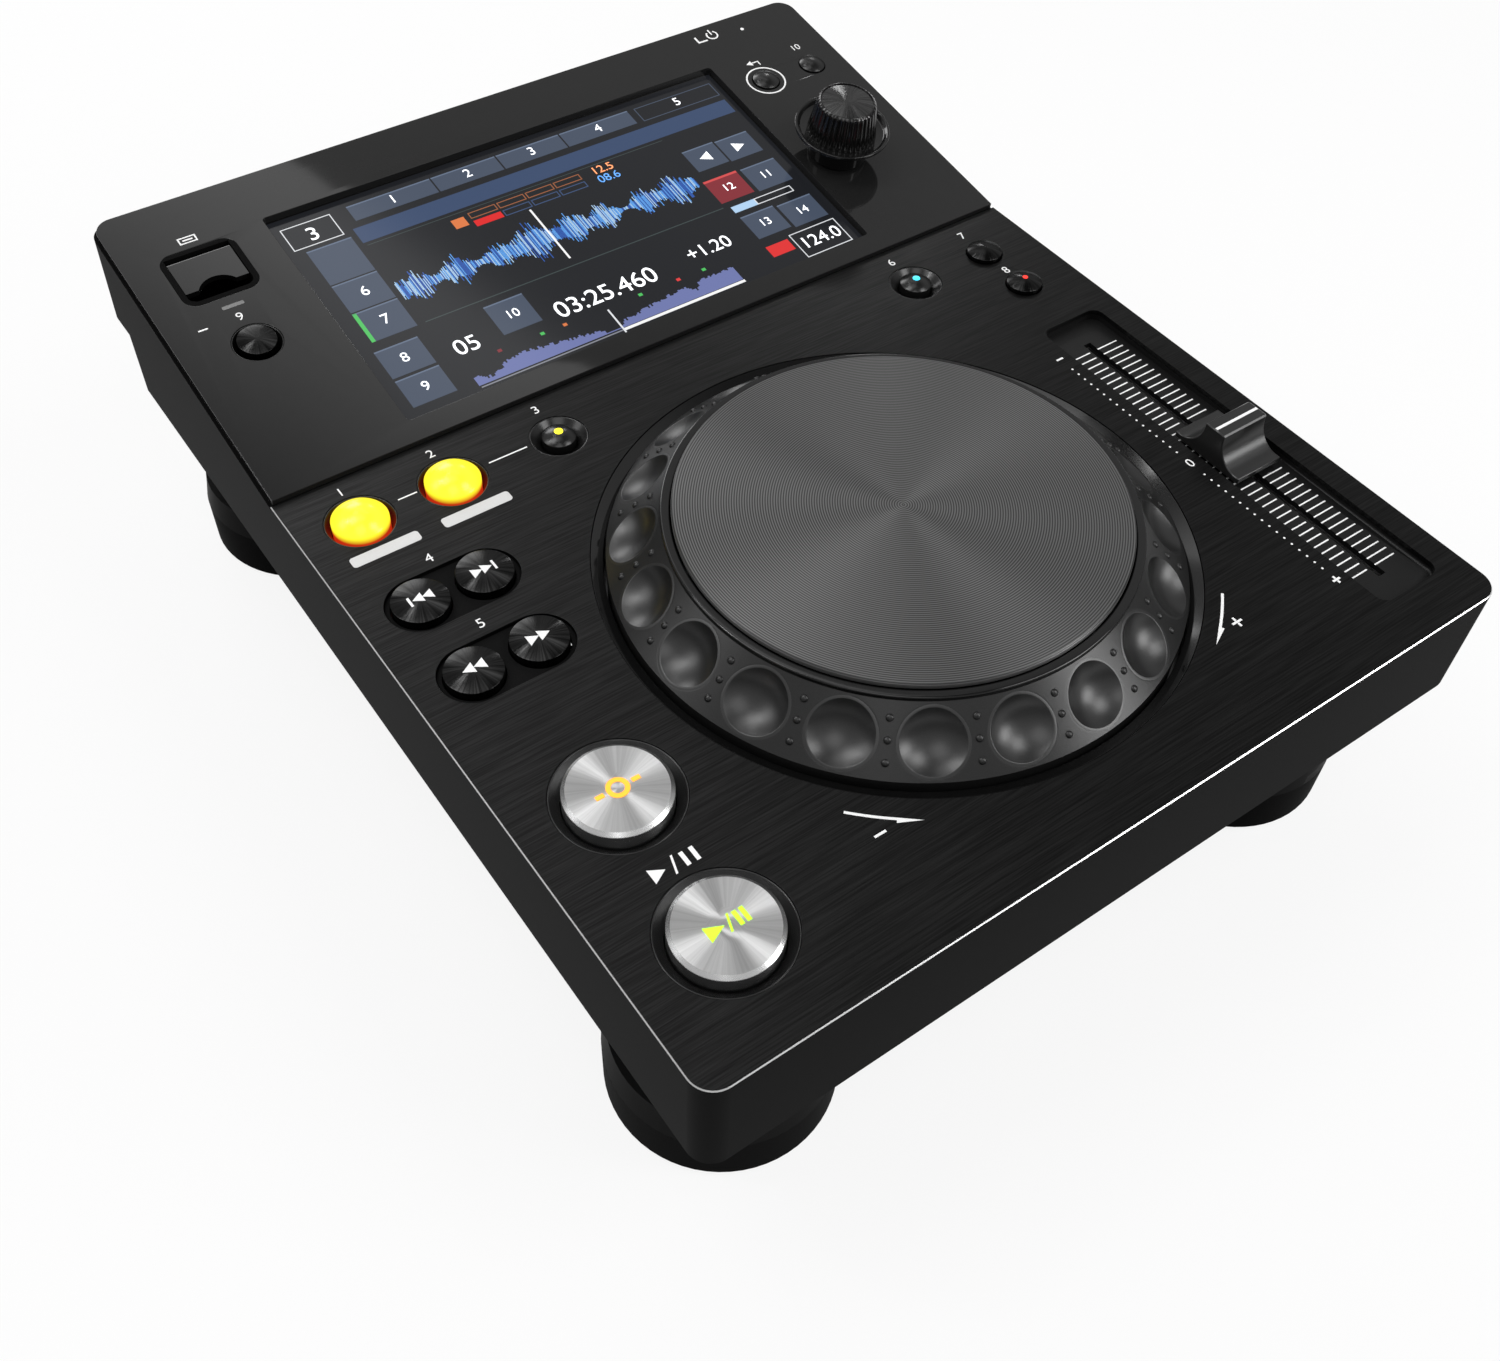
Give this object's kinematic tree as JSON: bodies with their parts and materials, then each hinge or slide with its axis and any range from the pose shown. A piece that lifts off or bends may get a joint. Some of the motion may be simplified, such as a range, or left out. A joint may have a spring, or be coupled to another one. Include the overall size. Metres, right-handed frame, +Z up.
{
  "type": "dj media player",
  "caption": "Compact DJ media player on tall feet: brushed deck with a dimpled jog wheel, transport and loop buttons and tempo fader, and a tilted touch display with browse knob.",
  "frame": {"origin": "on the table under the middle of the case: middle of the bounding box at the foot pads", "axes": "+X to the user's right, +Y from the front edge to the rear sockets, +Z up from the table through the deck"},
  "size_m": [0.23, 0.2958, 0.1066],
  "materials": {
    "case_black": "fine-grained matte black",
    "cover_steel": "satin black painted sheet",
    "deck_aluminium": "black, brushed along X",
    "panel_gloss": "gloss black sheet",
    "foot_plastic": "satin dark grey",
    "foot_rubber": "matte black",
    "fastener_steel": "zinc plated",
    "jog_grip": "satin dark grey",
    "jog_disc": "black, turned with fine grooves",
    "trim_gloss": "gloss black",
    "bearing_brass": "sintered bronze-brown",
    "encoder_film": "black",
    "fader_cap_black": "satin black with a white index line",
    "cap_silver": "spun silver",
    "cap_amber": "translucent amber",
    "cap_black": "gloss black",
    "knob_black": "gloss black, fluted grip",
    "knob_disc": "black, spun",
    "shaft_metal": "plain",
    "screen_glass": "clear touch glass",
    "screen_module": "dark display face",
    "board_green": "green laminate",
    "jack_gold": "gold plated",
    "socket_black": "black"
  },
  "bodies": {
    "case": {"upper_case": "case_black", "rear_panel": "case_black", "fader_tray": "case_black", "usb_well": "case_black", "bottom_cover": "cover_steel", "deck_plate": "deck_aluminium", "display_panel": "panel_gloss", "foot_legs": "foot_plastic", "foot_pads": "foot_rubber", "case_screws": "fastener_steel", "inner_screws": "fastener_steel", "usb_door_pin": "fastener_steel", "fader_body": "fastener_steel", "lcd_frame": "fastener_steel", "usb_socket": "fastener_steel", "jog_well": "trim_gloss", "button_rings": "trim_gloss", "jog_bearing": "bearing_brass", "jog_sensor": "encoder_film", "tact_switches": "encoder_film", "browse_encoder": "encoder_film", "touch_panel": "screen_glass", "lcd_module": "screen_module", "main_board": "board_green", "left_board": "board_green", "right_board": "board_green", "panel_boards": "board_green", "jack_board": "board_green", "rca_jacks": "jack_gold", "rear_sockets": "socket_black"},
    "jog_wheel": {"jog_ring": "jog_grip", "jog_spindle": "fastener_steel", "encoder_disc": "encoder_film", "jog_touch_sheet": "case_black"},
    "jog_top": {"jog_top_plate": "jog_disc"},
    "tempo_fader": {"fader_carriage": "case_black", "fader_cap": "fader_cap_black"},
    "browse_plunger_body": {"browse_plunger": "encoder_film"},
    "browse_control": {"browse_knob": "knob_black", "browse_knob_disc": "knob_disc", "browse_shaft": "shaft_metal"},
    "usb_lid": {"usb_door": "panel_gloss"},
    "cue_button_body": {"cue_button": "cap_silver"},
    "play_button_body": {"play_button": "cap_silver"},
    "loop_in_button_body": {"loop_in_button": "cap_amber"},
    "loop_out_button_body": {"loop_out_button": "cap_amber"},
    "reloop_button_body": {"reloop_button": "cap_black"},
    "vinyl_mode_button_body": {"vinyl_mode_button": "cap_black"},
    "tempo_range_button_body": {"tempo_range_button": "cap_black"},
    "key_lock_button_body": {"key_lock_button": "cap_black"},
    "track_back_button_body": {"track_back_button": "cap_black"},
    "track_forward_button_body": {"track_forward_button": "cap_black"},
    "search_back_button_body": {"search_back_button": "cap_black"},
    "search_forward_button_body": {"search_forward_button": "cap_black"},
    "usb_stop_button_body": {"usb_stop_button": "cap_black"},
    "back_button_body": {"back_button": "cap_black"},
    "tag_button_body": {"tag_button": "cap_black"},
    "power_button_body": {"power_button": "cap_black"}
  },
  "joints": [
    {"name": "jog_spin", "type": "hinge", "parent": "case", "child": "jog_wheel", "pos_m": [0.0024, -0.05749, 0.0798], "axis": [0, 0, 1], "continuous": true},
    {"name": "jog_press", "type": "slide", "parent": "jog_wheel", "child": "jog_top", "axis": [0, 0, -1], "range_m": [0, 0.0005], "stiffness_N_per_m": 4000},
    {"name": "tempo_slide", "type": "slide", "parent": "case", "child": "tempo_fader", "axis": [0, 1, 0], "range_m": [-0.0487, 0.0487]},
    {"name": "browse_push", "type": "slide", "parent": "case", "child": "browse_plunger_body", "axis": [0, 0.153, -0.9882], "range_m": [0, 0.0005], "stiffness_N_per_m": 4000},
    {"name": "browse_turn", "type": "hinge", "parent": "browse_plunger_body", "child": "browse_control", "pos_m": [0.0855, 0.07575, 0.08698], "axis": [0, -0.153, 0.9882], "continuous": true},
    {"name": "usb_lid_hinge", "type": "hinge", "parent": "case", "child": "usb_lid", "pos_m": [-0.0944, 0.11993, 0.0918], "axis": [-1, 0, 0], "range_deg": [0, 90]},
    {"name": "cue_press", "type": "slide", "parent": "case", "child": "cue_button_body", "axis": [0, 0, -1], "range_m": [0, 0.0008], "stiffness_N_per_m": 1500},
    {"name": "play_press", "type": "slide", "parent": "case", "child": "play_button_body", "axis": [0, 0, -1], "range_m": [0, 0.0008], "stiffness_N_per_m": 1500},
    {"name": "loop_in_press", "type": "slide", "parent": "case", "child": "loop_in_button_body", "axis": [0, 0, -1], "range_m": [0, 0.0005], "stiffness_N_per_m": 1500},
    {"name": "loop_out_press", "type": "slide", "parent": "case", "child": "loop_out_button_body", "axis": [0, 0, -1], "range_m": [0, 0.0005], "stiffness_N_per_m": 1500},
    {"name": "reloop_press", "type": "slide", "parent": "case", "child": "reloop_button_body", "axis": [0, 0, -1], "range_m": [0, 0.0005], "stiffness_N_per_m": 1500},
    {"name": "vinyl_mode_press", "type": "slide", "parent": "case", "child": "vinyl_mode_button_body", "axis": [0, 0, -1], "range_m": [0, 0.0005], "stiffness_N_per_m": 1500},
    {"name": "tempo_range_press", "type": "slide", "parent": "case", "child": "tempo_range_button_body", "axis": [0, 0, -1], "range_m": [0, 0.0005], "stiffness_N_per_m": 1500},
    {"name": "key_lock_press", "type": "slide", "parent": "case", "child": "key_lock_button_body", "axis": [0, 0, -1], "range_m": [0, 0.0005], "stiffness_N_per_m": 1500},
    {"name": "track_back_press", "type": "slide", "parent": "case", "child": "track_back_button_body", "axis": [0, 0, -1], "range_m": [0, 0.0005], "stiffness_N_per_m": 1500},
    {"name": "track_forward_press", "type": "slide", "parent": "case", "child": "track_forward_button_body", "axis": [0, 0, -1], "range_m": [0, 0.0005], "stiffness_N_per_m": 1500},
    {"name": "search_back_press", "type": "slide", "parent": "case", "child": "search_back_button_body", "axis": [0, 0, -1], "range_m": [0, 0.0005], "stiffness_N_per_m": 1500},
    {"name": "search_forward_press", "type": "slide", "parent": "case", "child": "search_forward_button_body", "axis": [0, 0, -1], "range_m": [0, 0.0005], "stiffness_N_per_m": 1500},
    {"name": "usb_stop_press", "type": "slide", "parent": "case", "child": "usb_stop_button_body", "axis": [0, 0.153, -0.9882], "range_m": [0, 0.0005], "stiffness_N_per_m": 1500},
    {"name": "back_press", "type": "slide", "parent": "case", "child": "back_button_body", "axis": [0, 0.153, -0.9882], "range_m": [0, 0.0005], "stiffness_N_per_m": 1500},
    {"name": "tag_press", "type": "slide", "parent": "case", "child": "tag_button_body", "axis": [0, 0.153, -0.9882], "range_m": [0, 0.0005], "stiffness_N_per_m": 1500},
    {"name": "power_press", "type": "slide", "parent": "case", "child": "power_button_body", "axis": [0, -1, 0], "range_m": [0, 0.0015], "stiffness_N_per_m": 1500}
  ]
}
